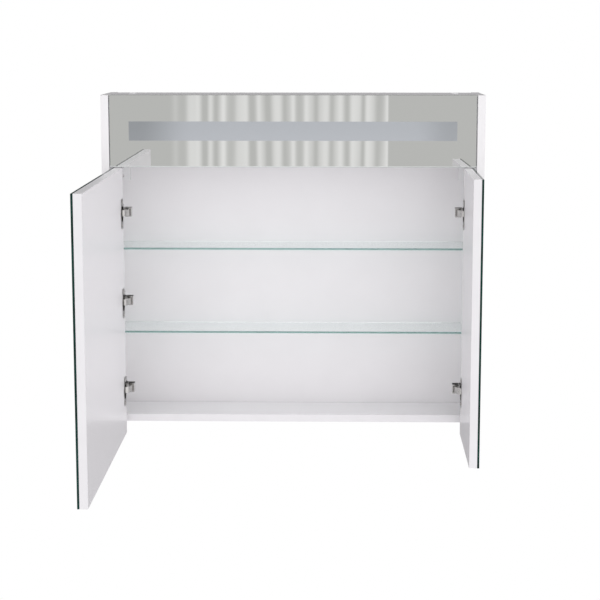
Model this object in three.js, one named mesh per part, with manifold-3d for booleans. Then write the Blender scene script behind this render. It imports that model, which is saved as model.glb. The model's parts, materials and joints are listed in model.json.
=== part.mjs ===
// Wall-hung bathroom mirror cabinet: a fixed mirror with a frosted light strip above
// two inset mirror doors, glass shelves behind them, and a light box behind the fixed mirror.
// Millimetres, +Z up, +Y towards the wall. The exported group's origin is on the wall plane,
// midway between the two wall hooks, at the height where they bear on the wall rail.
import * as THREE from 'three';
import { mergeVertices } from 'three/addons/utils/BufferGeometryUtils.js';
import Module from 'manifold-3d';

const wasm = await Module();
wasm.setup();

// ---- Driving dimensions -------------------------------------------------------------
const WIDTH = 800;
const HEIGHT = 725;
const DEPTH = 150;
const BOARD = 16;
const GAP = 2; // reveal between doors, fixed mirror and carcass
const FIT = 0.3; // assembly gap between touching pieces
const GLASS = 4;
const DOOR_THICK = 20; // mirror glass and board together
const FIXED_MIRROR_H = 150;
const LEFT_DOOR_W = 512;
const INSET = 24; // carcass panels start this far behind the front plane
const BACK_FACE = 130; // inner face of the back panel, behind the front plane
const BACK_THICK = 3;
const BOTTOM_Z = 22; // underside of the bottom panel
const SHELF_THICK = 4;
const SHELF_RISE = 1.7; // shelves sit this much above equal thirds of the storage space
const SHELF_FRONT = 26;
const STRIP_INSET = 40; // frosted light strip, from each end of the fixed mirror
const STRIP_H = 40;
const HOOK_Z = 555; // bearing height of the wall hooks

// Doors: rest angle of each, and the vertical axis of its hinges
const LEFT_OPEN = 90;
const RIGHT_OPEN = 89;
const PIVOT_IN = 10; // from the side panel's inner face
const PIVOT_BACK = 4; // behind the front plane

// Hinges
const HINGE_LOW = 96;
const HINGE_MID = 286.5;
const HINGE_HIGH = 477;
const CUP_FROM_EDGE = 21.5; // cup centre from the door's hinge edge
const CUP_R = 17.5;
const CUP_WALL = 1.2;
const CUP_DEPTH = 12;
const BORE_OVER = 0.01; // keeps the cup's bore from lying on the shell's inner wall
const FLANGE_LONG = 62;
const FLANGE_WIDE = 24;
const FLANGE_THICK = 0.9;
const FLANGE_CORNER = 4;
const ARM_TALL = 19;
const ARM_WAIST = 11; // height of the arm behind its front end
const WAIST_PLACE = [40, 64]; // front and rear of the waist, behind the front plane
const WAIST_REACH = 60; // how far inwards the waist is cut, past the arm's front end
const SLOT_TALL = 13.8;
const SLOT_END = 40.7; // inner end of the arm's slot, from the side panel's inner face
const LINK_TALL = 13.2;
const LINK_THICK = 2;
const LINK_PIVOT_IN = 38.5;
const LINK_PIVOT_BACK = 24;
const LINK_PIN_R = 1;
const LINK_RATIO = 0.35; // turn of the link for each turn of the door, the other way

// ---- Derived sizes ------------------------------------------------------------------
const HALF = WIDTH / 2;
const HALF_IN = HALF - BOARD;
const MIRROR_Z = HEIGHT - FIXED_MIRROR_H;
const DOOR_H = MIRROR_Z - GAP;
const DOOR_SPAN = 2 * HALF_IN - 3 * GAP;
const RIGHT_DOOR_W = DOOR_SPAN - LEFT_DOOR_W;
const BOTTOM_TOP = BOTTOM_Z + BOARD;
const SHELF_ROOM = (MIRROR_Z - BOTTOM_TOP - 2 * SHELF_THICK) / 3;
const LOWER_SHELF_Z = BOTTOM_TOP + SHELF_ROOM + SHELF_RISE;
const UPPER_SHELF_Z = LOWER_SHELF_Z + SHELF_THICK + SHELF_ROOM;
const FLOOR_TOP = MIRROR_Z + BOARD;
const TOP_UNDER = HEIGHT - BOARD;
const STRIP_Z = HEIGHT - FIXED_MIRROR_H / 2;
const STRIP_HALF = HALF_IN - GAP - STRIP_INSET;
const CARRIER_BACK = GLASS + FIT + BOARD;
const DEG = Math.PI / 180;

// ---- Materials ----------------------------------------------------------------------
const finish = (color, roughness, metalness = 0) =>
  new THREE.MeshStandardMaterial({ color, roughness, metalness });

const whiteBoard = finish(0xf1f1f2, 0.25);
const whiteGloss = finish(0xeeeef1, 0.12);
const backBoard = finish(0xe8e7e9, 0.4);
const mirrorGlass = finish(0xc9cccb, 0.03, 1);
const shelfGlass = finish(0xb9d3cd, 0.05);
const nickel = finish(0xb5b4b2, 0.25, 1);
const darkSteel = finish(0x8d8d8e, 0.4, 1);
const whitePlastic = finish(0xf3f3f3, 0.45);
const opal = finish(0xdfe6ee, 0.5);
const aluminium = finish(0xc4c6c8, 0.35, 1);
const ledBoard = finish(0xe9ecec, 0.5);
const driverCase = finish(0xd9dadb, 0.55);
const blackRubber = finish(0x1c1c1d, 0.8);

// ---- Shape helpers ------------------------------------------------------------------
const cabinet = new THREE.Group();
cabinet.position.set(0, -DEPTH, -HOOK_Z);

function add(name, geometry, material, parent = cabinet) {
  const mesh = new THREE.Mesh(geometry, material);
  mesh.name = name;
  parent.add(mesh);
  return mesh;
}

// A box between two corners, [x, y, z] each.
function block(low, high) {
  const size = high.map((value, i) => value - low[i]);
  const geometry = new THREE.BoxGeometry(...size);
  geometry.translate(...low.map((value, i) => value + size[i] / 2));
  return geometry;
}

// A flat outline of [x, y] points, extruded upwards from z0 to z1.
function prism(points, z0, z1) {
  const shape = new THREE.Shape(points.map(([x, y]) => new THREE.Vector2(x, y)));
  const geometry = new THREE.ExtrudeGeometry(shape, { depth: z1 - z0, bevelEnabled: false });
  geometry.translate(0, 0, z0);
  return geometry;
}

// A rounded slab in the X-Z plane, from y0 to y1, with corners of radius r.
function roundedSlab(width, height, r, y0, y1, arcSteps = 5) {
  const x = width / 2 - r;
  const z = height / 2 - r;
  const shape = new THREE.Shape();
  [[x, z, 0], [-x, z, 90], [-x, -z, 180], [x, -z, 270]].forEach(([cx, cz, start]) => {
    shape.absarc(cx, cz, r, start * DEG, (start + 90) * DEG);
  });
  const geometry = new THREE.ExtrudeGeometry(shape, {
    depth: y1 - y0, bevelEnabled: false, curveSegments: arcSteps,
  });
  geometry.rotateX(Math.PI / 2);
  geometry.translate(0, y1, 0);
  return geometry;
}

// A cylinder whose axis is 'x', 'y' or 'z', between two places on that axis.
function rod(radius, axis, from, to, at, sides = 24) {
  const geometry = new THREE.CylinderGeometry(radius, radius, to - from, sides);
  const middle = (from + to) / 2;
  if (axis === 'x') geometry.rotateZ(Math.PI / 2).translate(middle, at[0], at[1]);
  if (axis === 'y') geometry.translate(at[0], middle, at[1]);
  if (axis === 'z') geometry.rotateX(Math.PI / 2).translate(at[0], at[1], middle);
  return geometry;
}

function toSolid(geometry) {
  const bare = geometry.clone();
  bare.deleteAttribute('normal');
  bare.deleteAttribute('uv');
  const merged = mergeVertices(bare);
  return new wasm.Manifold(new wasm.Mesh({
    numProp: 3,
    vertProperties: Float32Array.from(merged.attributes.position.array),
    triVerts: Uint32Array.from(merged.index.array),
  }));
}

function toGeometry(solid) {
  const mesh = solid.getMesh();
  const geometry = new THREE.BufferGeometry();
  geometry.setAttribute('position', new THREE.BufferAttribute(mesh.vertProperties, 3));
  geometry.setIndex(new THREE.BufferAttribute(mesh.triVerts, 1));
  geometry.computeVertexNormals();
  return geometry;
}

const cut = (body, ...tools) =>
  toGeometry(tools.reduce((solid, tool) => solid.subtract(toSolid(tool)), toSolid(body)));
const join = (body, ...others) =>
  toGeometry(others.reduce((solid, other) => solid.add(toSolid(other)), toSolid(body)));

const sideName = (side) => (side < 0 ? 'left' : 'right');
// X of a point measured inwards from a side panel's inner face.
const inward = (side, distance) => side * (HALF_IN - distance);

// A box on one side of the cabinet, its X given inwards from that side panel.
function sideBlock(side, [in0, y0, z0], [in1, y1, z1]) {
  const ends = [inward(side, in0), inward(side, in1)].sort((a, b) => a - b);
  return block([ends[0], y0, z0], [ends[1], y1, z1]);
}

// ---- Carcass ------------------------------------------------------------------------
const HOOK_IN = 12; // hook centre, from the side panel's inner face
const HOOK_WIDE = 12;
const HOOK_ARM = 3.5; // thickness of the hook's bearing arm
const THROUGH = 5; // how far a cutting tool passes a face
const GROMMET_X = 250;
const GROMMET_R = 10;
const GROMMET_Z = 650;
const HOOK_ROOM = 1; // clearance round a hook in the back panel

function addCarcass() {
  for (const side of [-1, 1]) {
    const ends = [side * HALF_IN, side * HALF].sort((a, b) => a - b);
    const panel = block([ends[0], 0, 0], [ends[1], DEPTH, HEIGHT]);
    add(`side_panel_${sideName(side)}`, panel, whiteBoard);
  }
  const x = HALF_IN - FIT;
  const rear = BACK_FACE - FIT;
  const top = block([-x, GLASS + FIT, TOP_UNDER], [x, BACK_FACE + BACK_THICK, HEIGHT]);
  add('top_panel', top, whiteBoard);
  add('light_box_floor', block([-x, INSET, MIRROR_Z], [x, rear, FLOOR_TOP]), whiteBoard);
  add('bottom_panel', block([-x, INSET, BOTTOM_Z], [x, rear, BOTTOM_TOP]), whiteBoard);

  const sheet = block([-x, BACK_FACE, BOTTOM_Z], [x, BACK_FACE + BACK_THICK, TOP_UNDER - FIT]);
  const holes = [rod(GROMMET_R, 'y', BACK_FACE - THROUGH, DEPTH, [GROMMET_X, GROMMET_Z])];
  for (const side of [-1, 1]) {
    const half = HOOK_WIDE / 2 + HOOK_ROOM;
    const low = [HOOK_IN - half, BACK_FACE - THROUGH, HOOK_Z - HOOK_ROOM];
    const high = [HOOK_IN + half, DEPTH, HOOK_Z + HOOK_ARM + HOOK_ROOM];
    holes.push(sideBlock(side, low, high));
  }
  add('back_panel', cut(sheet, ...holes), backBoard);
}

// ---- Fixed mirror and light box -----------------------------------------------------
const WINDOW_ROOM = 1; // between the diffuser and the window in the carrier, all round
const DIFFUSER_OVER = 1; // how far the diffuser passes the frosted strip, all round
const DIFFUSER_THICK = 3;
const CHANNEL_WALL = 1.5;
const CHANNEL_DEEP = 18;
const CHANNEL_LIP = 4; // how far the channel stands above and below the diffuser
const LED_THICK = 1.6;
const LED_WIDE = 12;
const LED_SHORT = 10; // how much shorter the light board is at each end
const DRIVER_LOW = [120, 60];
const DRIVER_HIGH = [280, 100];
const DRIVER_TALL = 28;
const CAP_X = 341; // cover caps in the top panel
const CAP_Y = 66;
const CAP_R = 8;
const CAP_TALL = 2.5;
const GROMMET_LIP = 3; // how far the grommet's flange passes its hole
const GROMMET_FLANGE = 2;
const GROMMET_NECK = 3; // how far the grommet's neck stands into the light box

function addFixedMirror() {
  const x = HALF_IN - GAP;
  add('fixed_mirror', block([-x, 0, MIRROR_Z], [x, GLASS, HEIGHT]), mirrorGlass);
  const over = DIFFUSER_OVER + WINDOW_ROOM;
  const halfX = STRIP_HALF + over;
  const halfZ = STRIP_H / 2 + over;
  const window = block([-halfX, 0, STRIP_Z - halfZ], [halfX, CARRIER_BACK + THROUGH, STRIP_Z + halfZ]);
  const carrier = block(
    [-HALF_IN + FIT, GLASS + FIT, MIRROR_Z],
    [HALF_IN - FIT, CARRIER_BACK, TOP_UNDER - FIT],
  );
  add('mirror_carrier', cut(carrier, window), whiteBoard);
}

function addLight() {
  const halfX = STRIP_HALF + DIFFUSER_OVER;
  const halfZ = STRIP_H / 2 + DIFFUSER_OVER;
  const front = GLASS + FIT;
  add('light_diffuser', block(
    [-halfX, front, STRIP_Z - halfZ],
    [halfX, front + DIFFUSER_THICK, STRIP_Z + halfZ],
  ), opal);

  const y0 = CARRIER_BACK + FIT;
  const y1 = y0 + CHANNEL_DEEP;
  const outerZ = halfZ + CHANNEL_LIP;
  const innerZ = outerZ - CHANNEL_WALL;
  const outer = block([-halfX, y0, STRIP_Z - outerZ], [halfX, y1, STRIP_Z + outerZ]);
  const inner = block(
    [-halfX - THROUGH, y0 - THROUGH, STRIP_Z - innerZ],
    [halfX + THROUGH, y1 - CHANNEL_WALL, STRIP_Z + innerZ],
  );
  add('led_channel', cut(outer, inner), aluminium);
  const boardBack = y1 - CHANNEL_WALL - FIT;
  add('led_board', block(
    [-halfX + LED_SHORT, boardBack - LED_THICK, STRIP_Z - LED_WIDE / 2],
    [halfX - LED_SHORT, boardBack, STRIP_Z + LED_WIDE / 2],
  ), ledBoard);
  const driver = block([...DRIVER_LOW, FLOOR_TOP + FIT], [...DRIVER_HIGH, FLOOR_TOP + DRIVER_TALL]);
  add('led_driver', driver, driverCase);

  const cap = rod(CAP_R, 'z', HEIGHT + FIT, HEIGHT + CAP_TALL, [0, 0]);
  for (const side of [-1, 1]) {
    add(`top_cap_${sideName(side)}`, cap.clone().translate(side * CAP_X, CAP_Y, 0), whitePlastic);
  }

  const behind = BACK_FACE + BACK_THICK;
  const place = [GROMMET_X, GROMMET_Z];
  const seat = behind + FIT;
  const flange = rod(GROMMET_R + GROMMET_LIP, 'y', seat, seat + GROMMET_FLANGE, place);
  const neck = rod(GROMMET_R - FIT, 'y', BACK_FACE - GROMMET_NECK, seat + GROMMET_FLANGE / 2, place);
  add('cable_grommet', join(flange, neck), blackRubber);
}

// ---- Shelves ------------------------------------------------------------------------
const SHELF_PLAY = 1.5; // between the shelf's edges and the panels beside and behind it
const SUPPORT_R = 2.5;
const SUPPORT_LONG = 9;
const COLLAR_R = 4;
const COLLAR_THICK = 1.2;
const SUPPORT_PLACES = { front: 46, rear: 108 }; // behind the front plane

function addShelf(name, underside) {
  const x = HALF_IN - SHELF_PLAY;
  const low = [-x, SHELF_FRONT, underside];
  const high = [x, BACK_FACE - SHELF_PLAY, underside + SHELF_THICK];
  add(`shelf_${name}`, block(low, high), shelfGlass);
  const pinZ = underside - FIT - SUPPORT_R;
  const collarZ = underside - FIT - COLLAR_R;
  for (const side of [-1, 1]) {
    for (const [place, y] of Object.entries(SUPPORT_PLACES)) {
      const ends = [inward(side, FIT), inward(side, SUPPORT_LONG)].sort((a, b) => a - b);
      const collar = [inward(side, FIT), inward(side, FIT + COLLAR_THICK)].sort((a, b) => a - b);
      const pin = rod(SUPPORT_R, 'x', ends[0], ends[1], [y, pinZ], 16);
      const ring = rod(COLLAR_R, 'x', collar[0], collar[1], [y, collarZ], 16);
      add(`shelf_support_${name}_${sideName(side)}_${place}`, join(pin, ring), nickel);
    }
  }
}

// ---- Wall hangers -------------------------------------------------------------------
const COVER_IN = 27;
const COVER_DEEP = 18;
const COVER_LOW = 536;
const COVER_WALL = 2;
const HANGER_BODY = { front: 14, back: 4, beside: 3, inset: 5 }; // from back panel, hook and cover
const ARM_START = 8; // the hook's arm starts this far in front of the back panel
const WALL_ROOM = 1; // between the hook and the wall
const LIP_DROP = 8; // how far the hook's lip hangs below the bearing height
const SCREW_HOLE_R = 3.5; // holes in the cover for the hanger's adjusting screws
const SCREW_PLACES = [545.5, 565]; // their heights

function addHanger(side) {
  const low = [FIT, BACK_FACE - FIT - COVER_DEEP, COVER_LOW];
  const high = [COVER_IN, BACK_FACE - FIT, MIRROR_Z - FIT];
  const cover = sideBlock(side, low, high);
  const pocket = sideBlock(side,
    low.map((value) => value + COVER_WALL),
    [high[0] - COVER_WALL, BACK_FACE + THROUGH, high[2] - COVER_WALL]);
  const holes = SCREW_PLACES.map((z) =>
    rod(SCREW_HOLE_R, 'y', low[1] - THROUGH, low[1] + THROUGH, [inward(side, HOOK_IN), z]));
  add(`hanger_cover_${sideName(side)}`, cut(cover, pocket, ...holes), whitePlastic);

  const in0 = HOOK_IN - HOOK_WIDE / 2;
  const in1 = HOOK_IN + HOOK_WIDE / 2;
  const end = DEPTH - WALL_ROOM;
  const { front, back, beside, inset } = HANGER_BODY;
  const body = sideBlock(side,
    [in0 - beside, BACK_FACE - front, COVER_LOW + inset],
    [in1 + beside, BACK_FACE - back, high[2] - inset]);
  const arm = sideBlock(side,
    [in0, BACK_FACE - ARM_START, HOOK_Z], [in1, end, HOOK_Z + HOOK_ARM]);
  const lip = sideBlock(side,
    [in0, end - HOOK_ARM, HOOK_Z - LIP_DROP], [in1, end, HOOK_Z + HOOK_ARM]);
  add(`wall_hook_${sideName(side)}`, join(body, arm, lip), darkSteel);
}

// ---- Hinges -------------------------------------------------------------------------
// Outline points here are [inwards from the side panel, back from the front plane].
const ARM_OUTLINE = [
  [10.3, 88], [10.3, 54], [29, 37], [29, 22.2], [42, 22.2], [42, 40], [20, 62], [17, 66], [17, 88],
];
const SADDLE_OUTLINE = [[0.3, 84], [0.3, 46], [8, 46], [10, 50], [10, 80], [8, 84]];
const WINGS = { thick: 2, front: 52, rear: 70, half: 26 }; // the plate's two screw wings
const SADDLE_HALF = 8; // half the height of the plate's saddle
const SLOT_REACH = 35; // rear end of the arm's slot, behind the front plane
const PIN_OUT = 0.4; // how far the link's pin stands out of the arm, above and below
const LINK_BULGE = [18.55, 3.85]; // control point of the link's curve, door closed
const LINK_END = [11.87, 15.35]; // tip of the link in the cup, door closed

const mapOutline = (side, outline) => outline.map(([x, y]) => [inward(side, x), y]);

// The link's curved strap, as an outline offset to both sides of its centre line.
function linkOutline() {
  const curve = new THREE.QuadraticBezierCurve(
    new THREE.Vector2(LINK_PIVOT_IN, LINK_PIVOT_BACK),
    new THREE.Vector2(...LINK_BULGE),
    new THREE.Vector2(...LINK_END),
  );
  const steps = 14;
  const left = [];
  const right = [];
  for (let i = 0; i <= steps; i += 1) {
    const at = curve.getPoint(i / steps);
    const along = curve.getTangent(i / steps);
    const off = new THREE.Vector2(-along.y, along.x).multiplyScalar(LINK_THICK / 2);
    left.push([at.x + off.x, at.y + off.y]);
    right.unshift([at.x - off.x, at.y - off.y]);
  }
  return [...left, ...right];
}

function addHingeBase(side, name, z) {
  const wings = sideBlock(side,
    [FIT, WINGS.front, z - WINGS.half], [FIT + WINGS.thick, WINGS.rear, z + WINGS.half]);
  const saddle = prism(mapOutline(side, SADDLE_OUTLINE), z - SADDLE_HALF, z + SADDLE_HALF);
  add(`hinge_plate_${name}`, join(wings, saddle), nickel);

  const arm = prism(mapOutline(side, ARM_OUTLINE), z - ARM_TALL / 2, z + ARM_TALL / 2);
  const slot = sideBlock(side, [0, 0, z - SLOT_TALL / 2], [SLOT_END, SLOT_REACH, z + SLOT_TALL / 2]);
  const hole = rod(LINK_PIN_R + FIT, 'z', z - ARM_TALL, z + ARM_TALL,
    [inward(side, LINK_PIVOT_IN), LINK_PIVOT_BACK], 16);
  const waists = [-1, 1].map((way) => {
    const heights = [way * ARM_WAIST / 2, way * ARM_TALL].sort((a, b) => a - b);
    return sideBlock(side,
      [0, WAIST_PLACE[0], z + heights[0]], [WAIST_REACH, WAIST_PLACE[1], z + heights[1]]);
  });
  add(`hinge_arm_${name}`, cut(arm, slot, hole, ...waists), nickel);
}

function addHingeLink(side, name, z, doorAngle) {
  const pivot = new THREE.Group();
  pivot.position.set(inward(side, LINK_PIVOT_IN), LINK_PIVOT_BACK, z);
  pivot.rotation.z = -side * LINK_RATIO * doorAngle * DEG;
  cabinet.add(pivot);
  const outline = linkOutline().map(([x, y]) => [-side * (x - LINK_PIVOT_IN), y - LINK_PIVOT_BACK]);
  const strap = prism(outline, -LINK_TALL / 2, LINK_TALL / 2);
  const hub = rod(LINK_THICK * 0.9, 'z', -LINK_TALL / 2, LINK_TALL / 2, [0, 0], 16);
  const pinEnd = ARM_TALL / 2 + PIN_OUT;
  const pin = rod(LINK_PIN_R, 'z', -pinEnd, pinEnd, [0, 0], 16);
  add(`hinge_link_${name}`, join(strap, hub, pin), nickel, pivot);
}

// The cup is a turned shell with a flat flange on the door's inner face.
function addHingeCup(side, name, z, parent, toDoor) {
  const bottom = DOOR_THICK - CUP_DEPTH;
  const rim = DOOR_THICK + FIT;
  const innerR = CUP_R - CUP_WALL;
  const profile = [[0, bottom], [CUP_R, bottom], [CUP_R, rim], [CUP_R, rim + FLANGE_THICK],
    [innerR, rim + FLANGE_THICK], [innerR, bottom + CUP_WALL], [0, bottom + CUP_WALL]];
  const shell = new THREE.LatheGeometry(profile.map(([r, y]) => new THREE.Vector2(r, y)), 40);
  const plate = roundedSlab(FLANGE_WIDE, FLANGE_LONG, FLANGE_CORNER, rim, rim + FLANGE_THICK);
  const bore = rod(innerR + BORE_OVER, 'y', bottom + CUP_WALL, rim + THROUGH, [0, 0], 40);
  const cup = toGeometry(toSolid(shell).add(toSolid(plate)).subtract(toSolid(bore)));
  cup.translate(toDoor(CUP_FROM_EDGE), -PIVOT_BACK, z);
  add(`hinge_cup_${name}`, cup, nickel, parent);
}

// ---- Doors --------------------------------------------------------------------------
function addDoor(side, width, openAngle, hinges) {
  const word = sideName(side);
  const door = new THREE.Group();
  door.position.set(inward(side, PIVOT_IN), PIVOT_BACK, 0);
  door.rotation.z = side * openAngle * DEG;
  cabinet.add(door);
  // X in the door's own frame of a point measured from its hinge edge.
  const toDoor = (fromEdge) => -side * (GAP - PIVOT_IN + fromEdge);
  const ends = [toDoor(0), toDoor(width)].sort((a, b) => a - b);

  const glass = block([ends[0], -PIVOT_BACK, 0], [ends[1], GLASS - PIVOT_BACK, DOOR_H]);
  add(`door_mirror_${word}`, glass, mirrorGlass, door);
  const slab = block([ends[0], GLASS + FIT - PIVOT_BACK, 0], [ends[1], DOOR_THICK - PIVOT_BACK, DOOR_H]);
  const bores = Object.values(hinges).map((z) => rod(CUP_R + FIT, 'y',
    DOOR_THICK - CUP_DEPTH - FIT - PIVOT_BACK, DOOR_THICK, [toDoor(CUP_FROM_EDGE), z], 40));
  add(`door_board_${word}`, cut(slab, ...bores), whiteGloss, door);

  for (const [place, z] of Object.entries(hinges)) {
    const name = `${word}_${place}`;
    addHingeBase(side, name, z);
    addHingeLink(side, name, z, openAngle);
    addHingeCup(side, name, z, door, toDoor);
  }
}

addCarcass();
addFixedMirror();
addLight();
addShelf('upper', UPPER_SHELF_Z);
addShelf('lower', LOWER_SHELF_Z);
addHanger(-1);
addHanger(1);
addDoor(-1, LEFT_DOOR_W, LEFT_OPEN, { low: HINGE_LOW, middle: HINGE_MID, high: HINGE_HIGH });
addDoor(1, RIGHT_DOOR_W, RIGHT_OPEN, { low: HINGE_LOW, high: HINGE_HIGH });

export default cabinet;
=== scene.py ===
import json
import math

import bmesh
import bpy
from mathutils import Matrix, Vector

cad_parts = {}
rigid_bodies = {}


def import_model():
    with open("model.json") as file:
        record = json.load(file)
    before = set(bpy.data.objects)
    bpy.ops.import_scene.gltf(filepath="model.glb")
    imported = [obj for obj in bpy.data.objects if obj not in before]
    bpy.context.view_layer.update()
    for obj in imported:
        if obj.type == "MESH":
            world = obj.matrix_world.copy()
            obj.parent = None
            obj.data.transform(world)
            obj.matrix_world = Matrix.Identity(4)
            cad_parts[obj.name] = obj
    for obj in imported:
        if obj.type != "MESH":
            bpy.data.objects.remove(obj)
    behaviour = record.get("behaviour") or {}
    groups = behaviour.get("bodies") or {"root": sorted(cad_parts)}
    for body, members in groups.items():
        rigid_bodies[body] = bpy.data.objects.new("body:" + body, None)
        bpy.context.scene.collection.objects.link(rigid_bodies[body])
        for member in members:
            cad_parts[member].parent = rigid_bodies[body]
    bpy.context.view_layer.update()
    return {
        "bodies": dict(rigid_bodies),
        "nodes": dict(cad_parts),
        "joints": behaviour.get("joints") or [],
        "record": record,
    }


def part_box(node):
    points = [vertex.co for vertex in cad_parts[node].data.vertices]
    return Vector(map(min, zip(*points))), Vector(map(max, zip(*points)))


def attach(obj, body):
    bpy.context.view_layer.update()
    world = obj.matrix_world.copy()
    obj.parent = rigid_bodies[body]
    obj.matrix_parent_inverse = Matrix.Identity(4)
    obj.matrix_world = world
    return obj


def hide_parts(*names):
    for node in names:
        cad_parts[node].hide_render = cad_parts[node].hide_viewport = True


MM = 0.001
X, Y, Z = 0, 1, 2

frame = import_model()
record = frame["record"]
BODY_OF = {node: body for body, nodes in record["behaviour"]["bodies"].items() for node in nodes}


# ---- Sizes that the CAD doesn't give -------------------------------------------------
BAND = 0.8 * MM  # thickness of the boards' edge bands
RIM = 1.7 * MM  # height of the strip along the fixed mirror's lower edge that carries a painted highlight
STRIP_INSET = 40 * MM  # the etched strip, from each end of the fixed mirror
STRIP_TALL = 40 * MM

HINGE_SCREW_R = 3.6 * MM  # head of the screws in a hinge's cup and plate
FLANGE_SCREW = 24.5 * MM  # from the cup's centre, up and down
PLATE_SCREW = 19 * MM  # from the plate's middle, up and down
WING_THICK = 2 * MM  # the plate's wings, which lie on the side panel
WINGS_FROM_REAR = 23 * MM  # middle of the plate's wings, from the rear end of its saddle
ARM_FOOT = 6.7 * MM  # thickness of the arm where its screws are
ARM_SCREW_R = 3 * MM
ARM_SCREWS = (6 * MM, 16 * MM)  # from the arm's rear end

COVER_HOLES = (9.5 * MM, 29 * MM)  # heights of the holes in a hanger cover, from its lower edge
HOOK_SCREW_R = 3.2 * MM
HOOK_SCREW_DEEP = 1.5 * MM  # seat of the hook's screws, behind the cover's front

LED_COUNT = 40
NAIL_COUNT = 9  # in each of the back panel's two rows


def strip_place():
    """(lowest corner, highest corner) of the etched strip, midway up the fixed mirror."""
    low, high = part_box("fixed_mirror")
    middle = (low.z + high.z) / 2
    return (Vector((low.x + STRIP_INSET, low.y, middle - STRIP_TALL / 2)),
            Vector((high.x - STRIP_INSET, high.y, middle + STRIP_TALL / 2)))


STRIP = strip_place()


# ---- Shader helpers ------------------------------------------------------------------
class Nodes:
    """The node tree of a material or of the world."""

    def __init__(self, owner):
        owner.use_nodes = True
        self.tree = owner.node_tree

    def node(self, kind, inputs=None, **settings):
        """A new node. Each of its inputs listed is linked to an output or given a plain value."""
        node = self.tree.nodes.new(kind)
        for key, value in settings.items():
            setattr(node, key, value)
        for socket, value in (inputs or {}).items():
            if isinstance(value, bpy.types.NodeSocket):
                self.tree.links.new(value, node.inputs[socket])
            else:
                node.inputs[socket].default_value = value
        return node

    def combine(self, operation, a, b, **settings):
        """Two numbers, each an output or a plain value, put together by a math operation."""
        return self.node("ShaderNodeMath", {0: a, 1: b}, operation=operation, **settings).outputs[0]

    def blend(self, value, start, end):
        """Goes from the colour start to the colour end as value goes from 0 to 1."""
        # A Mix node has inputs and an output for each kind of data. These are the ones for colours.
        inputs = {"Factor": value, 6: (*start, 1), 7: (*end, 1)}
        return self.node("ShaderNodeMix", inputs, data_type="RGBA").outputs[2]


class Finish(Nodes):
    """A Principled material. Its detail comes from textures in the object's own coordinates."""

    def __init__(self, name, color, roughness, **constants):
        self.material = bpy.data.materials.new(name)
        super().__init__(self.material)
        self.material.diffuse_color = (*color, 1)
        self.shader = self.tree.nodes["Principled BSDF"]
        for socket, value in {"Base Color": (*color, 1), "Roughness": roughness, **constants}.items():
            self.shader.inputs[socket].default_value = value
        self.place = self.tree.nodes.new("ShaderNodeTexCoord").outputs["Object"]

    def stretched(self, scale):
        """The object's coordinates, scaled along X, Y and Z."""
        return self.node("ShaderNodeMapping", {"Vector": self.place, "Scale": scale}).outputs[0]

    def noise(self, scale, detail=2.0, vector=None, roughness=0.5):
        inputs = {"Vector": vector or self.place, "Scale": scale, "Detail": detail, "Roughness": roughness}
        return self.node("ShaderNodeTexNoise", inputs).outputs["Fac"]

    def cells(self, scale):
        return self.node("ShaderNodeTexVoronoi", {"Vector": self.place, "Scale": scale}).outputs["Distance"]

    def spread(self, value, low, high, start=0.3, end=0.7):
        """Maps a value from start..end, such as a texture's middle range, to low..high."""
        inputs = {"Value": value, "From Min": start, "From Max": end, "To Min": low, "To Max": high}
        return self.node("ShaderNodeMapRange", inputs).outputs["Result"]

    def tint(self, value, dark, light):
        """Colours the surface between two shades as value goes from 0 to 1."""
        self.tree.links.new(self.blend(value, dark, light), self.shader.inputs["Base Color"])

    def rough(self, value):
        self.tree.links.new(value, self.shader.inputs["Roughness"])

    def bump(self, height, distance, strength=1.0):
        inputs = {"Height": height, "Distance": distance, "Strength": strength}
        self.tree.links.new(self.node("ShaderNodeBump", inputs).outputs[0], self.shader.inputs["Normal"])


def shade(color, factor):
    return tuple(min(1.0, c * factor) for c in color)


# ---- Materials: each is a Principled shader with procedural detail -------------------
def melamine(name, color):
    m = Finish(name, color, 0.34, IOR=1.5)
    m.tint(m.spread(m.noise(9, 3), 0, 1), shade(color, 0.99), shade(color, 1.01))
    m.rough(m.spread(m.noise(60, 4), 0.32, 0.38))
    m.bump(m.noise(2600, 3), 0.008 * MM, 0.4)
    return m.material


def edge_band(name, color):
    m = Finish(name, color, 0.38, IOR=1.5)
    m.tint(m.spread(m.noise(30), 0, 1), shade(color, 0.985), shade(color, 1.01))
    m.bump(m.noise(1500), 0.01 * MM, 0.5)
    return m.material


def gloss_lacquer():
    """The doors' inner faces. Its grain is very fine, because they are seen at a low angle."""
    color = (0.845, 0.832, 0.85)
    m = Finish("white_gloss_lacquer", color, 0.26, IOR=1.46)
    m.tint(m.spread(m.noise(1100, 1), 0, 1), shade(color, 0.997), shade(color, 1.003))
    m.rough(m.spread(m.noise(1600, 1), 0.267, 0.273))
    return m.material


def coated_hardboard():
    color = (0.84, 0.829, 0.84)
    m = Finish("white_coated_hardboard", color, 0.42, IOR=1.5)
    m.tint(m.spread(m.noise(12, 3), 0, 1), shade(color, 0.988), shade(color, 1.01))
    m.rough(m.spread(m.noise(90, 3), 0.38, 0.46))
    m.bump(m.noise(1800, 3), 0.012 * MM, 0.4)
    return m.material


def raw_hardboard():
    dark, light = (0.2, 0.115, 0.06), (0.36, 0.235, 0.14)
    m = Finish("raw_hardboard", light, 0.75)
    fibre = m.noise(420, 6, m.stretched((1, 1, 0.35)), 0.65)
    m.tint(m.spread(fibre, 0, 1, 0.32, 0.68), dark, light)
    m.bump(fibre, 0.12 * MM, 0.7)
    return m.material


def mirror_silver():
    plain, dark, light = (0.81, 0.816, 0.81), (0.805, 0.812, 0.806), (0.815, 0.821, 0.815)
    m = Finish("mirror_silver", plain, 0.012, Metallic=1.0)
    m.tint(m.spread(m.noise(3, 1), 0, 1), dark, light)
    m.bump(m.noise(2.2, 0), 0.006 * MM, 0.3)
    return m.material


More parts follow.
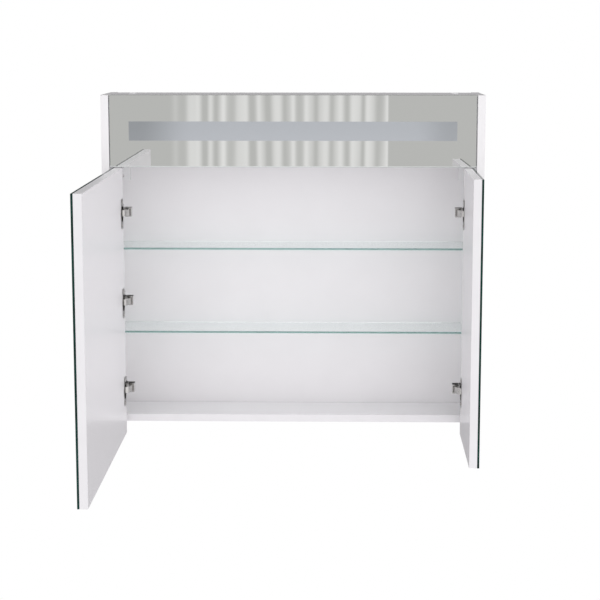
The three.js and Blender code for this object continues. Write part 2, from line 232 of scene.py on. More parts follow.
def mirror_paint():
    color = (0.2, 0.225, 0.23)
    m = Finish("mirror_back_paint", color, 0.5)
    m.tint(m.spread(m.noise(140, 4), 0, 1), shade(color, 0.9), shade(color, 1.08))
    m.bump(m.noise(700, 3), 0.03 * MM, 0.6)
    return m.material


def glass_edge():
    dark, light = (0.003, 0.018, 0.014), (0.012, 0.052, 0.042)
    m = Finish("glass_edge_dark_green", dark, 0.16, **{"IOR": 1.45, "Specular IOR Level": 0.15})
    streak = m.noise(70, 3, m.stretched((1, 1, 0.5)))
    m.tint(m.spread(streak, 0, 1), dark, light)
    m.bump(m.noise(900), 0.02 * MM, 0.4)
    return m.material


def glass_arris():
    """A painted highlight: the narrow light grey strip along the fixed mirror's lower edge."""
    dark, light = (0.62, 0.66, 0.64), (0.8, 0.83, 0.82)
    m = Finish("ground_glass_arris", light, 0.45, IOR=1.5)
    m.tint(m.spread(m.noise(600, 3), 0, 1), dark, light)
    m.bump(m.noise(1400), 0.02 * MM, 0.5)
    return m.material


def frosted_band():
    """Etched glass with the lamp behind it off: cool grey, with painted shade towards both ends and the upper
    edge.
    """
    painted_shade_grey, plain = (0.267, 0.285, 0.298), (0.44, 0.465, 0.49)
    brightest, grain = 0.9, 0.03
    # Painted shade: over these widths the strip darkens towards its ends, more at the left, and towards its
    # upper edge.
    left_fade, left_least = 0.15, 0.0
    right_fade, right_least = 0.1, 0.4
    at_upper_edge, at_lower_edge = -0.05, 0.1
    low, high = STRIP
    m = Finish("frosted_light_band", plain, 0.3, IOR=1.5)
    split = m.node("ShaderNodeSeparateXYZ", {"Vector": m.place}).outputs
    level = brightest
    for start, end, least in ((low.x, low.x + left_fade, left_least),
                              (high.x, high.x - right_fade, right_least)):
        inputs = {"Value": split["X"], "From Min": start, "From Max": end, "To Min": least}
        ramp = m.node("ShaderNodeMapRange", inputs, interpolation_type="SMOOTHERSTEP").outputs["Result"]
        level = m.combine("MULTIPLY", ramp, level)
    level = m.combine("ADD", level, m.spread(split["Z"], at_upper_edge, at_lower_edge, high.z, low.z))
    level = m.combine("ADD", level, m.spread(m.noise(900), -grain, grain), use_clamp=True)
    m.tint(level, painted_shade_grey, plain)
    m.bump(m.noise(1600), 0.01 * MM, 0.5)
    return m.material


def shelf_glass():
    """Float glass: clear through its faces, sea green through its long way from edge to edge."""
    plain, dark, light = (0.99, 1.0, 0.995), (0.985, 0.997, 0.992), (0.992, 1.0, 0.997)
    m = Finish("shelf_glass_clear", plain, 0.0, **{"IOR": 1.5, "Transmission Weight": 1.0})
    m.tint(m.spread(m.noise(4, 1), 0, 1), dark, light)
    m.bump(m.noise(3, 0), 0.004 * MM, 0.2)
    green = m.node("ShaderNodeVolumeAbsorption", {"Color": (0.2, 0.66, 0.6, 1), "Density": 10})
    # Shadow rays and diffuse rays go straight through, so that the glass doesn't darken what is near it.
    path = m.node("ShaderNodeLightPath").outputs
    through = m.combine("MAXIMUM", path["Is Shadow Ray"], path["Is Diffuse Ray"])
    clear = m.node("ShaderNodeBsdfTransparent", {"Color": (0.985, 0.99, 0.987, 1)})
    surface = m.node("ShaderNodeMixShader", {0: through, 1: m.shader.outputs[0], 2: clear.outputs[0]})
    out = m.tree.nodes["Material Output"]
    m.tree.links.new(surface.outputs[0], out.inputs["Surface"])
    m.tree.links.new(green.outputs[0], out.inputs["Volume"])
    return m.material


def plated(name, color, grazing=1.0):
    """Plated metal. grazing is how bright it still is where it is seen edge on."""
    m = Finish(name, color, 0.22, **{"Metallic": 1.0, "Specular Tint": (grazing, grazing, grazing, 1)})
    m.tint(m.spread(m.noise(120), 0, 1), shade(color, 0.96), shade(color, 1.04))
    m.rough(m.spread(m.noise(500), 0.2, 0.27))
    m.bump(m.noise(1800), 0.004 * MM, 0.4)
    return m.material


def zinc():
    dark, light = (0.33, 0.34, 0.36), (0.5, 0.51, 0.53)
    m = Finish("zinc_plate", light, 0.38, Metallic=1.0)
    m.tint(m.spread(m.cells(260), 0, 1, 0.1, 0.8), dark, light)
    m.rough(m.spread(m.noise(300, 3), 0.3, 0.48))
    m.bump(m.noise(900, 3), 0.02 * MM, 0.5)
    return m.material


def plastic(name, color, roughness, grain=1300, depth=0.025 * MM):
    m = Finish(name, color, roughness, IOR=1.48)
    m.tint(m.spread(m.noise(40), 0, 1), shade(color, 0.97), shade(color, 1.02))
    m.rough(m.spread(m.noise(grain), roughness - 0.05, roughness + 0.07))
    m.bump(m.noise(grain), depth, 0.6)
    return m.material


def aluminium():
    dark, light = (0.52, 0.53, 0.545), (0.66, 0.67, 0.68)
    m = Finish("anodised_aluminium", light, 0.32, Metallic=1.0)
    streak = m.noise(40, 5, m.stretched((1.5, 60, 60)), 0.6)
    m.tint(m.spread(streak, 0, 1), dark, light)
    m.rough(m.spread(streak, 0.26, 0.42))
    m.bump(streak, 0.01 * MM, 0.5)
    return m.material


def phosphor():
    plain, dark, light = (0.8, 0.62, 0.12), (0.72, 0.5, 0.08), (0.86, 0.7, 0.2)
    m = Finish("led_phosphor", plain, 0.4)
    m.tint(m.spread(m.noise(3000), 0, 1), dark, light)
    return m.material


MAT = {
    "melamine": melamine("white_melamine", (0.868, 0.86, 0.87)),
    # A lighter copy of the melamine: painted light on the bottom panel, whose top faces up into the lit
    # interior.
    "bright_melamine": melamine("bright_white_melamine", (0.94, 0.933, 0.942)),
    "band": edge_band("white_edge_band", (0.845, 0.838, 0.846)),
    # A darker copy of the edge band: painted shade on the doors' upright edges and the bottom panel's edges.
    "door_band": edge_band("white_door_edge_band", (0.79, 0.782, 0.795)),
    # A lighter copy of the edge band: painted light on the doors' upper and lower edges.
    "bright_band": edge_band("bright_white_edge_band", (0.93, 0.925, 0.935)),
    "lacquer": gloss_lacquer(),
    "hardboard": coated_hardboard(),
    "raw_hardboard": raw_hardboard(),
    "mirror": mirror_silver(),
    "mirror_paint": mirror_paint(),
    "glass_edge": glass_edge(),
    "arris": glass_arris(),
    "frosted_band": frosted_band(),
    "shelf_glass": shelf_glass(),
    "nickel": plated("nickel_plate", (0.56, 0.55, 0.535)),
    # Light plating: painted light on the arms' inward faces, and the plating of the hooks' screws.
    "bright_plating": plated("bright_plating", (0.8, 0.79, 0.79)),
    # Darker nickel, dim where seen edge on: painted shade on the arms' upper and lower faces.
    "dark_nickel": plated("dark_nickel_plate", (0.24, 0.235, 0.23), 0.22),
    # Darker nickel, dimmer where seen edge on: painted shade on the hinge cups and their flanges.
    "flange_nickel": plated("flange_nickel_plate", (0.41, 0.405, 0.4), 0.6),
    "zinc": zinc(),
    "white_plastic": plastic("white_plastic", (0.86, 0.86, 0.865), 0.42),
    "opal": plastic("opal_acrylic", (0.78, 0.81, 0.84), 0.35, 900, 0.01 * MM),
    "aluminium": aluminium(),
    "solder_resist": plastic("white_solder_resist", (0.8, 0.82, 0.82), 0.4, 700, 0.02 * MM),
    "phosphor": phosphor(),
    "driver_case": plastic("driver_case_plastic", (0.68, 0.69, 0.71), 0.5),
    "black_rubber": plastic("black_rubber", (0.018, 0.018, 0.019), 0.7, 1500, 0.05 * MM),
}


# ---- Mesh helpers --------------------------------------------------------------------
def closing(body):
    """Takes a door from its stored open place to its closed place, where its sides are square to the axes."""
    joint = next(j for j in frame["joints"] if j["child"] == body)
    about = Matrix.Translation(joint["pos_m"])
    turn = Matrix.Rotation(math.radians(joint["range_deg"][1]), 4, Vector(joint["axis"]))
    return about @ turn @ about.inverted()


# Pieces are built in these places, and moved back to the stored place when they are done.
SQUARE = {body: closing(body) if body.endswith("_door") else Matrix() for body in frame["bodies"]}


def cad_copy(node):
    """The node's solid as a bmesh with shared corners and whole flat faces."""
    source = frame["nodes"][node].data
    square = SQUARE[BODY_OF[node]]
    bm = bmesh.new()
    corners = [bm.verts.new(square @ v.co) for v in source.vertices]
    for polygon in source.polygons:
        bm.faces.new([corners[i] for i in polygon.vertices])
    bmesh.ops.remove_doubles(bm, verts=bm.verts, dist=0.002 * MM)
    bmesh.ops.dissolve_limit(bm, angle_limit=math.radians(0.3), verts=bm.verts, edges=bm.edges)
    bm.normal_update()
    return bm


def square_box(node):
    """(lowest corner, highest corner) of a node, with its door closed."""
    square = SQUARE[BODY_OF[node]]
    corners = [square @ v.co for v in frame["nodes"][node].data.vertices]
    return (Vector([min(c[i] for c in corners) for i in (X, Y, Z)]),
            Vector([max(c[i] for c in corners) for i in (X, Y, Z)]))


def stand_in(node, bm, materials, ending="_form"):
    """A finished bmesh as the shown piece that rides on a node's body and stands for the node."""
    body = BODY_OF[node]
    bmesh.ops.recalc_face_normals(bm, faces=bm.faces)
    bmesh.ops.transform(bm, matrix=SQUARE[body].inverted(), verts=bm.verts)
    mesh = bpy.data.meshes.new(node + ending)
    bm.to_mesh(mesh)
    bm.free()
    for material in materials:
        mesh.materials.append(MAT[material])
    obj = bpy.data.objects.new(node + ending, mesh)
    bpy.context.scene.collection.objects.link(obj)
    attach(obj, body)
    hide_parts(node)
    return obj


def soften(obj, width, segments=2, angle=30):
    """Rounds the edges that turn by more than angle, and shades the faces so that they still look flat."""
    for polygon in obj.data.polygons:
        polygon.use_smooth = True
    bevel = obj.modifiers.new("edges", "BEVEL")
    bevel.width = width
    bevel.segments = segments
    bevel.limit_method = "ANGLE"
    bevel.angle_limit = math.radians(angle)
    bevel.harden_normals = True
    bevel.use_clamp_overlap = True


def cad_piece(node, material, width, segments=2, angle=30):
    """A softened copy of a CAD node in one material."""
    soften(stand_in(node, cad_copy(node), [material]), width, segments, angle)


def add_box(bm, low, high, material=0):
    low, high = Vector(low), Vector(high)
    made = bmesh.ops.create_cube(bm, size=1.0)["verts"]
    bmesh.ops.scale(bm, vec=high - low, verts=made)
    bmesh.ops.translate(bm, vec=(low + high) / 2, verts=made)
    for face in {f for v in made for f in v.link_faces}:
        face.material_index = material


def rings(bm, loops, at, towards, material=0):
    """Skins a stack of rings that starts at a point and goes towards a direction, and closes its ends.

    Each loop is (radius for each step round, height)."""
    turn = Vector(towards).to_track_quat("Z", "Y").to_matrix()
    made = []
    for radii, height in loops:
        steps = len(radii)
        points = [(r * math.cos(math.tau * i / steps), r * math.sin(math.tau * i / steps), height)
                  for i, r in enumerate(radii)]
        made.append([bm.verts.new(Vector(at) + turn @ Vector(point)) for point in points])
    faces = []
    for lower, upper in zip(made, made[1:]):
        for i in range(len(lower)):
            j = (i + 1) % len(lower)
            faces.append(bm.faces.new([lower[i], lower[j], upper[j], upper[i]]))
    faces += [bm.faces.new(made[0][::-1]), bm.faces.new(made[-1])]
    for face in faces:
        face.material_index = material


def turned(bm, profile, at, towards, material=0, steps=40):
    """A turned solid from (radius, height) points, closed by flat ends."""
    rings(bm, [([r] * steps, height) for r, height in profile], at, towards, material)


# For a screw head of radius 1: its rim and dome, the cross recess's outline, and the recess's (size, height).
HEAD = [(1, -0.08), (1, 0.12), (0.93, 0.24), (0.78, 0.3)]
CROSS = [0.58, 0.5, 0.2, 0.17, 0.17, 0.17, 0.2, 0.5] * 4
RECESS = [(1, 0.32), (0.75, -0.02)]


def add_screw(bm, at, towards, radius, material=1):
    """A pan head with a cross recess, its seat at the given point."""
    loops = [([r * radius] * len(CROSS), height * radius) for r, height in HEAD]
    loops += [([size * c * radius for c in CROSS], height * radius) for size, height in RECESS]
    rings(bm, loops, at, towards, material)


# ---- Boards --------------------------------------------------------------------------
def banded_board(node, bands, faces="melamine", strips=("band",)):
    """A board with an edge band on each side listed as (axis, -1 or 1, which of strips)."""
    low, high = square_box(node)
    bm = cad_copy(node)
    for vert in bm.verts:
        for axis, sign, _ in bands:
            edge = (low if sign < 0 else high)[axis]
            if abs(vert.co[axis] - edge) < 0.01 * MM:
                vert.co[axis] -= sign * BAND
    # A band reaches over the ends of those listed before it, but not of those after it.
    reach_low, reach_high = low.copy(), high.copy()
    for axis, sign, _ in bands:
        (reach_low if sign < 0 else reach_high)[axis] -= sign * BAND
    for axis, sign, strip in bands:
        edge = (low if sign < 0 else high)[axis]
        inner = edge - sign * BAND
        band_low, band_high = reach_low.copy(), reach_high.copy()
        band_low[axis], band_high[axis] = min(edge, inner), max(edge, inner)
        add_box(bm, band_low, band_high, 1 + strip)
        (reach_low if sign < 0 else reach_high)[axis] = edge
    soften(stand_in(node, bm, [faces, *strips], "_banded"), 0.5 * MM)


def make_carcass():
    for side in ("left", "right"):
        banded_board("side_panel_" + side, [(Y, -1, 0), (Z, 1, 0), (Z, -1, 0), (Y, 1, 0)])
    banded_board("top_panel", [(Y, -1, 0), (Y, 1, 0)])
    # A lighter melamine and a darker edge band: painted light on its faces, painted shade on its edges.
    banded_board("bottom_panel", [(Y, -1, 0), (Y, 1, 0)], "bright_melamine", ("door_band",))
    banded_board("light_box_floor", [(Y, -1, 0)])
    cad_piece("mirror_carrier", "melamine", 0.4 * MM)


def make_back_panel():
    """Coated on the inner face, raw fibre on the face towards the wall and on the edges, and nailed on."""
    coated, raw, nails = range(3)
    bm = cad_copy("back_panel")
    for face in bm.faces:
        face.material_index = coated if face.normal.y < -0.5 else raw
    low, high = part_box("back_panel")
    radius = 2.2 * MM
    head = [(radius, -0.1 * MM), (radius, 0.3 * MM), (0.6 * radius, 0.6 * MM), (0.2 * radius, 0.68 * MM)]
    for board in ("bottom_panel", "light_box_floor"):
        row = sum(corner.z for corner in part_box(board)) / 2
        for i in range(NAIL_COUNT):
            x = low.x + (high.x - low.x) * (i + 0.5) / NAIL_COUNT
            turned(bm, head, (x, high.y, row), (0, 1, 0), nails, 16)
    soften(stand_in("back_panel", bm, ["hardboard", "raw_hardboard", "zinc"], "_sheet"), 0.2 * MM, 1, 60)


def make_door_board(side):
    upright, level = 0, 1  # which strips its bands take: painted shade on the upright edges, painted light on the upper and lower
    bands = [(X, -1, upright), (Z, 1, level), (Z, -1, level), (X, 1, upright)]
    banded_board("door_board_" + side, bands, "lacquer", ("door_band", "bright_band"))


# ---- Mirrors -------------------------------------------------------------------------
SILVER, EDGE, PAINT, FROST, PAINTED_HIGHLIGHT = range(5)
MIRROR_MATERIALS = ["mirror", "glass_edge", "mirror_paint", "frosted_band", "arris"]


def mirror_slot(face):
    """Silver in front, dark green on the edges, paint behind."""
    if abs(face.normal.y) < 0.5:
        return EDGE
    return SILVER if face.normal.y < 0 else PAINT


def mirror_piece(node, bm, materials):
    """A mirror glass whose rounded arrises are green."""
    obj = stand_in(node, bm, materials, "_sheet")
    soften(obj, 0.3 * MM, 1)
    obj.modifiers["edges"].material = EDGE


def make_door_mirror(side):
    node = "door_mirror_" + side
    bm = cad_copy(node)
    for face in bm.faces:
        face.material_index = mirror_slot(face)
    mirror_piece(node, bm, MIRROR_MATERIALS[:PAINT + 1])


def divided_block(xs, front, back, zs):
    """A closed block from front to back in Y, with both of those faces cut into a grid at xs and zs."""
    bm = bmesh.new()
    grid = {(i, j, y): bm.verts.new((x, y, z))
            for i, x in enumerate(xs) for j, z in enumerate(zs) for y in (front, back)}
    last_x, last_z = len(xs) - 1, len(zs) - 1
    for i in range(last_x):
        for j in range(last_z):
            for y in (front, back):
                ring = [(i, j), (i + 1, j), (i + 1, j + 1), (i, j + 1)]
                bm.faces.new([grid[(a, b, y)] for a, b in ring])
    border = ([(i, 0) for i in range(last_x)] + [(last_x, j) for j in range(last_z)]
              + [(i, last_z) for i in range(last_x, 0, -1)] + [(0, j) for j in range(last_z, 0, -1)])
    for here, after in zip(border, border[1:] + border[:1]):
        bm.faces.new([grid[(*here, front)], grid[(*after, front)], grid[(*after, back)], grid[(*here, back)]])
    bmesh.ops.recalc_face_normals(bm, faces=bm.faces)
    return bm


def make_fixed_mirror():
    """Cut into a grid, so that the etched strip and the rim with its painted highlight are faces of their
    own.
    """
    low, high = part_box("fixed_mirror")
    strip_low, strip_high = STRIP
    xs = [low.x, strip_low.x, strip_high.x, high.x]
    zs = [low.z, low.z + RIM, strip_low.z, strip_high.z, high.z]
    bm = divided_block(xs, low.y, high.y, zs)
    for face in bm.faces:
        slot = mirror_slot(face)
        middle = face.calc_center_median()
        in_strip = all(strip_low[axis] < middle[axis] < strip_high[axis] for axis in (X, Z))
        if slot != EDGE and in_strip:
            slot = FROST
        # The lower rim takes the light grey of a painted highlight instead of silver.
        elif slot == SILVER and middle.z < low.z + RIM:
            slot = PAINTED_HIGHLIGHT
        face.material_index = slot
    mirror_piece("fixed_mirror", bm, MIRROR_MATERIALS)


# ---- Shelves -------------------------------------------------------------------------
def make_shelf(level):
    cad_piece("shelf_" + level, "shelf_glass", 0.5 * MM)


def make_support(node):
    """A pin with a rounded tip and a lower-set collar against the side panel."""
    low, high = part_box(node)
    inwards = -math.copysign(1, low.x)
    wall = low.x if inwards > 0 else high.x
    length = high.x - low.x
    middle = (low.y + high.y) / 2
    pin, collar, thick, soft = 2.5 * MM, (high.z - low.z) / 2, 1.2 * MM, 0.3 * MM
    tip_long = 0.4 * pin
    tip = [(pin * math.cos(a), length - tip_long * (1 - math.sin(a))) for a in (0, 0.4, 0.8, 1.2)]
    bm = bmesh.new()
    turned(bm, [(pin, soft), *tip, (0.1 * pin, length)], (wall, middle, high.z - pin), (inwards, 0, 0))
    turned(bm, [(collar - soft, 0), (collar, soft), (collar, thick - soft), (collar - soft, thick)],
           (wall, middle, high.z - collar), (inwards, 0, 0))
    soften(stand_in(node, bm, ["nickel"]), 0.1 * MM, 1, 50)


# ---- Hinges and hangers --------------------------------------------------------------
def make_cup(place):
    node = "hinge_cup_" + place
    low, high = square_box(node)
    centre = (low + high) / 2
    bm = cad_copy(node)
    for way in (-1, 1):
        add_screw(bm, (centre.x, high.y, centre.z + way * FLANGE_SCREW), (0, 1, 0), HINGE_SCREW_R)
    # The cup and its flange take the darker nickel as painted shade; its screws take plain nickel.
    soften(stand_in(node, bm, ["flange_nickel", "nickel"]), 0.25 * MM, 2, 40)


def make_plate(place, outwards):
    node = "hinge_plate_" + place
    low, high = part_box(node)
    centre = (low + high) / 2
    wing = (high.x if outwards > 0 else low.x) - outwards * WING_THICK
    bm = cad_copy(node)
    for way in (-1, 1):
        at = (wing, high.y - WINGS_FROM_REAR, centre.z + way * PLATE_SCREW)
        add_screw(bm, at, (-outwards, 0, 0), HINGE_SCREW_R)
    soften(stand_in(node, bm, ["nickel", "zinc"]), 0.3 * MM, 2, 40)


def make_arm(place, outwards):
    """Painted shade on the faces above and below, painted light on the faces towards the middle of the
    cabinet.
    """
    node = "hinge_arm_" + place
    plain, dark, screws, painted_light_slot = range(4)
    low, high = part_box(node)
    bm = cad_copy(node)
    for face in bm.faces:
        # Painted shade on the upper and lower faces, painted light on the inward ones.
        if abs(face.normal.z) > 0.9:
            face.material_index = dark
        else:
            face.material_index = painted_light_slot if -outwards * face.normal.x > 0.9 else plain
    foot = (high.x if outwards > 0 else low.x) - outwards * ARM_FOOT
    for back in ARM_SCREWS:
        at = (foot, high.y - back, (low.z + high.z) / 2)
        add_screw(bm, at, (-outwards, 0, 0), ARM_SCREW_R, screws)
    soften(stand_in(node, bm, ["nickel", "dark_nickel", "zinc", "bright_plating"]), 0.4 * MM, 2, 40)


def make_hinge(place):
    outwards = -1 if place.startswith("left") else 1
    make_cup(place)
    make_plate(place, outwards)
    make_arm(place, outwards)
    cad_piece("hinge_link_" + place, "nickel", 0.25 * MM, 2, 40)


def make_hanger(side):
    """A cover, and a hook whose two screws show in the cover's holes."""
    cover, hook = "hanger_cover_" + side, "wall_hook_" + side
    cad_piece(cover, "white_plastic", 0.9 * MM, 3)
    low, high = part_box(hook)
    cover_low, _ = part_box(cover)
    reach = low.y - cover_low.y - HOOK_SCREW_DEEP
    bm = cad_copy(hook)
    for height in COVER_HOLES:
        at = Vector(((low.x + high.x) / 2, low.y, cover_low.z + height))
        turned(bm, [(HOOK_SCREW_R, -0.5 * MM), (HOOK_SCREW_R, reach)], at, (0, -1, 0), 1, 24)
        add_screw(bm, at + Vector((0, -reach, 0)), (0, -1, 0), HOOK_SCREW_R)
    soften(stand_in(hook, bm, ["zinc", "bright_plating"]), 0.4 * MM, 2, 40)


# ---- Small plastic and rubber parts --------------------------------------------------
def make_cap(side):
    """A low dome that covers a fixing hole in the top panel."""
    node = "top_cap_" + side
    low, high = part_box(node)
    middle = (low + high) / 2
    radius, tall = (high.x - low.x) / 2, high.z - low.z
    dome = [(1, 0), (1, 0.3), (0.97, 0.52), (0.9, 0.72), (0.75, 0.88), (0.5, 0.96), (0.1, 1)]
    bm = bmesh.new()
    turned(bm, [(r * radius, h * tall) for r, h in dome], (middle.x, middle.y, low.z), (0, 0, 1))
    soften(stand_in(node, bm, ["white_plastic"]), 0.1 * MM, 1, 70)


def make_grommet():
    """A neck through the back panel, and behind it a flange with a dished middle."""
    node = "cable_grommet"
    low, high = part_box(node)
    middle = (low + high) / 2
    flange, neck = (high.x - low.x) / 2, 9.7 * MM
    top = high.y - low.y
    seat = top - 2 * MM  # where the flange meets the back panel
    profile = [
        (neck - 0.8 * MM, 0), (neck, 0.8 * MM), (neck, seat), (flange - 0.5 * MM, seat),
        (flange, seat + 0.5 * MM), (flange - 0.3 * MM, top - 0.5 * MM), (flange - 1.4 * MM, top),
        (5 * MM, top - 0.2 * MM), (4 * MM, top - 0.8 * MM), (3 * MM, top - 3 * MM),
    ]
    bm = bmesh.new()
    turned(bm, profile, (middle.x, low.y, middle.z), (0, 1, 0))
    soften(stand_in(node, bm, ["black_rubber"]), 0.1 * MM, 1, 70)


# ---- Light ---------------------------------------------------------------------------
def make_led_board():
    """A board with a row of chips, each a white body with a yellow window."""
    low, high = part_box("led_board")
    half, tall = 1.4 * MM, 0.7 * MM
    window_half, window_tall = 1.05 * MM, 0.12 * MM
    row = (low.z + high.z) / 2
    bm = cad_copy("led_board")
    for i in range(LED_COUNT):
        x = low.x + (high.x - low.x) * (i + 0.5) / LED_COUNT
        add_box(bm, (x - half, low.y - tall, row - half), (x + half, low.y, row + half), 1)
        add_box(bm, (x - window_half, low.y - tall - window_tall, row - window_half),
                (x + window_half, low.y - tall, row + window_half), 2)
    soften(stand_in("led_board", bm, ["solder_resist", "white_plastic", "phosphor"]), 0.1 * MM, 1)


def make_driver():
    """A base and a lid with a seam between them, and at each end a lower block with two screws."""
    low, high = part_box("led_driver")
    end, seam, inset = 14 * MM, 0.5 * MM, 1.5 * MM
    screw_apart, screw_radius = 11 * MM, 2.6 * MM  # the screws lie this far to each side of the middle
    split = low.z + 0.62 * (high.z - low.z)
    left, right = low.x + end, high.x - end
    bm = bmesh.new()
    add_box(bm, (left, low.y, low.z), (right, high.y, split))
    add_box(bm, (left, low.y, split + seam), (right, high.y, high.z))
    add_box(bm, (left + inset, low.y + inset, low.z + inset), (right - inset, high.y - inset, high.z - inset))
    for x0, x1 in ((low.x, left - seam), (right + seam, high.x)):
        add_box(bm, (x0, low.y + inset, low.z), (x1, high.y - inset, split - inset))
        for way in (-1, 1):
            at = ((x0 + x1) / 2, (low.y + high.y) / 2 + way * screw_apart, split - inset)
            add_screw(bm, at, (0, 0, 1), screw_radius)
    soften(stand_in("led_driver", bm, ["driver_case", "zinc"]), 0.8 * MM, 2, 50)


def make_light():
    cad_piece("light_diffuser", "opal", 0.3 * MM)
    cad_piece("led_channel", "aluminium", 0.2 * MM)
    make_led_board()
    make_driver()


# ---- Camera and world ----------------------------------------------------------------
CAMERA_AT = (0.0702, -3.1463, 0.2907)
CAMERA_PITCH, CAMERA_YAW = math.radians(-8.058), math.radians(1.051)
CAMERA_LENS = 86.359
CAMERA_SHIFT_Y = -0.1

# Soft light from all round: direction it comes from, how narrow it is, strength.
SKY = [
    ((0, 0, 1), 0, 0.03),
    ((0, -1, 0), 8, 0.36),
    ((0.6, -1, 0), 8, 0.14),
    ((-0.6, -1, 0), 8, 0.43),
    ((0, -1, 0.6), 8, 0.78),
    ((1, -0.3, 0), 5, 0.9),
    ((-1, -0.3, 0), 5, 0.12),
    ((0, 0, 1), 4, 0.46),
    ((0, 0, -1), 4, 1.3),
    ((-1, 0.3, 0), 10, 0.45),
]


def make_camera():
    data = bpy.data.cameras.new("camera")
    data.lens = CAMERA_LENS
    data.sensor_width = 36
    data.shift_y = CAMERA_SHIFT_Y
    camera = bpy.data.objects.new("camera", data)
    camera.location = CAMERA_AT
    camera.rotation_euler = (math.pi / 2 + CAMERA_PITCH, 0, CAMERA_YAW)
    bpy.context.scene.collection.objects.link(camera)
    bpy.context.scene.camera = camera


def make_world():
    """White to the camera. As light, it is the sum of SKY's lobes."""
    world = bpy.data.worlds.new("studio")
    bpy.context.scene.world = world
    w = Nodes(world)
    w.tree.nodes.clear()
    direction = w.node("ShaderNodeTexCoord").outputs["Generated"]
    power = 0.0
    for towards, sharpness, strength in SKY:
        inputs = {0: direction, 1: Vector(towards).normalized()}
        facing = w.node("ShaderNodeVectorMath", inputs, operation="DOT_PRODUCT").outputs["Value"]
        share = w.node("ShaderNodeMapRange", {"Value": facing, "From Min": -1.0}).outputs["Result"]
        lobe = w.combine("MULTIPLY", w.combine("POWER", share, sharpness), strength)
        power = w.combine("ADD", lobe, power)
    light = w.node("ShaderNodeBackground", {"Color": (1.0, 0.988, 1.003, 1), "Strength": power})
    seen = w.node("ShaderNodeBackground", {"Color": (1, 1, 1, 1)})
    to_camera = w.node("ShaderNodeLightPath").outputs["Is Camera Ray"]
    mix = w.node("ShaderNodeMixShader", {0: to_camera, 1: light.outputs[0], 2: seen.outputs[0]})
    w.node("ShaderNodeOutputWorld", {0: mix.outputs[0]})


# ---- Stage: a floor, and a card that stands for the room the mirrors reflect ---------
FLOOR_Z = -1.75
FLOOR_REACH = 9

CARD_Y = -6.0
CARD_X = (-3.5, 3.5)
CARD_Z = (-3.7, 2.7)
CARD_FADE = {"X": ((-3.4, -1.7), (3.4, 1.7)), "Z": ((-3.6, -2.0), (2.6, 1.0))}  # (clear, full) at each edge
CARD_GREY = (0.572, 0.572, 0.558)

CURTAIN_WHITE = (0.93, 0.925, 0.915)
CURTAIN_X = (-0.895, 0.454)
CURTAIN_SOFT = (0.12, 0.01)  # width over which its left and its right edge fade
FOLD_SHADES = (0.5, 1.75)  # fold texture values that are card grey and curtain white: the folds' painted shade and light
FOLD_SCALE = (1, 1, 0.03)  # the folds hang, so they hardly change with height


class Glow(Nodes):
    """A plain light-giving material that is see-through from behind."""

    def __init__(self, name):
        self.material = bpy.data.materials.new(name)
        super().__init__(self.material)
        self.tree.nodes.clear()
        self.emit = self.node("ShaderNodeEmission", {"Color": (1, 1, 1, 1)})
        self.clear = self.node("ShaderNodeBsdfTransparent")
        behind = self.node("ShaderNodeNewGeometry").outputs["Backfacing"]
        shaders = {0: behind, 1: self.emit.outputs[0], 2: self.clear.outputs[0]}
        self.both = self.node("ShaderNodeMixShader", shaders)
        self.out = self.node("ShaderNodeOutputMaterial", {0: self.both.outputs[0]})

    def step(self, value, start, end, smooth=True):
        """0 up to start and 1 from end on, start and end in either order."""
        kind = "SMOOTHSTEP" if smooth else "LINEAR"
        inputs = {"Value": value, "From Min": start, "From Max": end}
        return self.node("ShaderNodeMapRange", inputs, interpolation_type=kind).outputs["Result"]


def curtain_share(card, place, across):
    """How much of the curtain's white shows at a place on the card: its folds, painted as lit and shaded
    bands, between its two edges.
    """
    hanging = card.node("ShaderNodeMapping", {"Vector": place, "Scale": FOLD_SCALE}).outputs[0]
    wave = {"Scale": 3.1, "Distortion": 7, "Detail": 2, "Detail Scale": 1.6, "Detail Roughness": 0.6}
    folds = card.node("ShaderNodeTexWave", {"Vector": hanging, **wave}).outputs["Fac"]
    drape = card.node("ShaderNodeTexNoise", {"Vector": hanging, "Scale": 5, "Detail": 2}).outputs["Fac"]
    share = card.step(card.combine("ADD", folds, drape), *FOLD_SHADES, smooth=False)
    left, right = CURTAIN_X
    soft_left, soft_right = CURTAIN_SOFT
    share = card.combine("MULTIPLY", share, card.step(across, left, left + soft_left, smooth=False))
    return card.combine("MULTIPLY", share, card.step(across, right, right - soft_right))


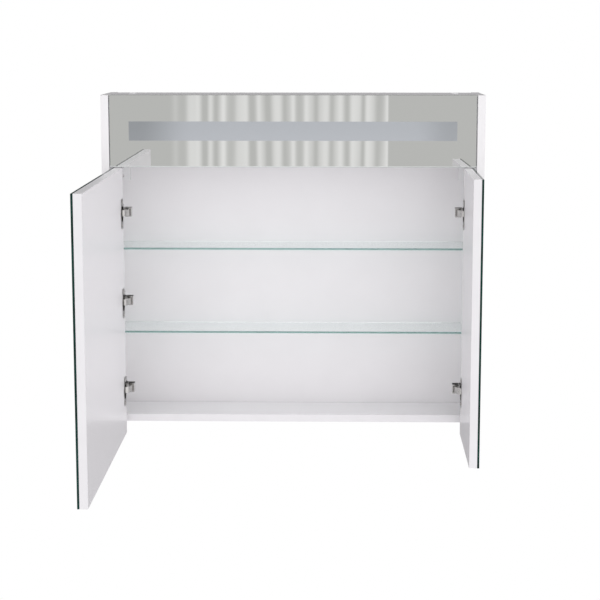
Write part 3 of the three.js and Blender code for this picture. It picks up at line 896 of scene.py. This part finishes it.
def card_material():
    card = Glow("room_card")
    place = card.node("ShaderNodeTexCoord").outputs["Object"]
    split = card.node("ShaderNodeSeparateXYZ", {0: place}).outputs
    color = card.blend(curtain_share(card, place, split["X"]), CARD_GREY, CURTAIN_WHITE)
    card.tree.links.new(color, card.emit.inputs["Color"])
    shown = 1.0
    for axis, edges in CARD_FADE.items():
        for start, end in edges:
            shown = card.combine("MULTIPLY", shown, card.step(split[axis], start, end))
    faded = card.node("ShaderNodeMixShader", {0: shown, 1: card.clear.outputs[0], 2: card.both.outputs[0]})
    card.tree.links.new(faded.outputs[0], card.out.inputs[0])
    return card.material


def stage_plane(name, corners, material, unseen_by):
    """A backdrop face that the listed kinds of ray pass through."""
    bm = bmesh.new()
    bm.faces.new([bm.verts.new(c) for c in corners])
    mesh = bpy.data.meshes.new(name)
    bm.to_mesh(mesh)
    bm.free()
    mesh.materials.append(material)
    obj = bpy.data.objects.new(name, mesh)
    bpy.context.scene.collection.objects.link(obj)
    for kind in unseen_by:
        setattr(obj, "visible_" + kind, False)


def make_stage():
    r = FLOOR_REACH
    floor = [(-r, -r, FLOOR_Z), (r, -r, FLOOR_Z), (r, r, FLOOR_Z), (-r, r, FLOOR_Z)]
    stage_plane("floor", floor, Glow("pale_floor").material, ("diffuse", "shadow", "glossy"))
    (left, right), (bottom, top) = CARD_X, CARD_Z
    card = [(right, CARD_Y, bottom), (left, CARD_Y, bottom), (left, CARD_Y, top), (right, CARD_Y, top)]
    stage_plane("room_card", card, card_material(), ("camera", "diffuse", "shadow", "transmission"))


# ---- Making --------------------------------------------------------------------------
make_camera()
make_world()
make_stage()
bpy.context.scene.view_settings.view_transform = "Standard"

make_carcass()
make_back_panel()
make_fixed_mirror()
for side in ("left", "right"):
    make_door_mirror(side)
    make_door_board(side)
for level in ("upper", "lower"):
    make_shelf(level)
for node in sorted(n for n in frame["nodes"] if n.startswith("shelf_support")):
    make_support(node)
for place in ("left_low", "left_middle", "left_high", "right_low", "right_high"):
    make_hinge(place)
for side in ("left", "right"):
    make_hanger(side)
    make_cap(side)
make_grommet()
make_light()
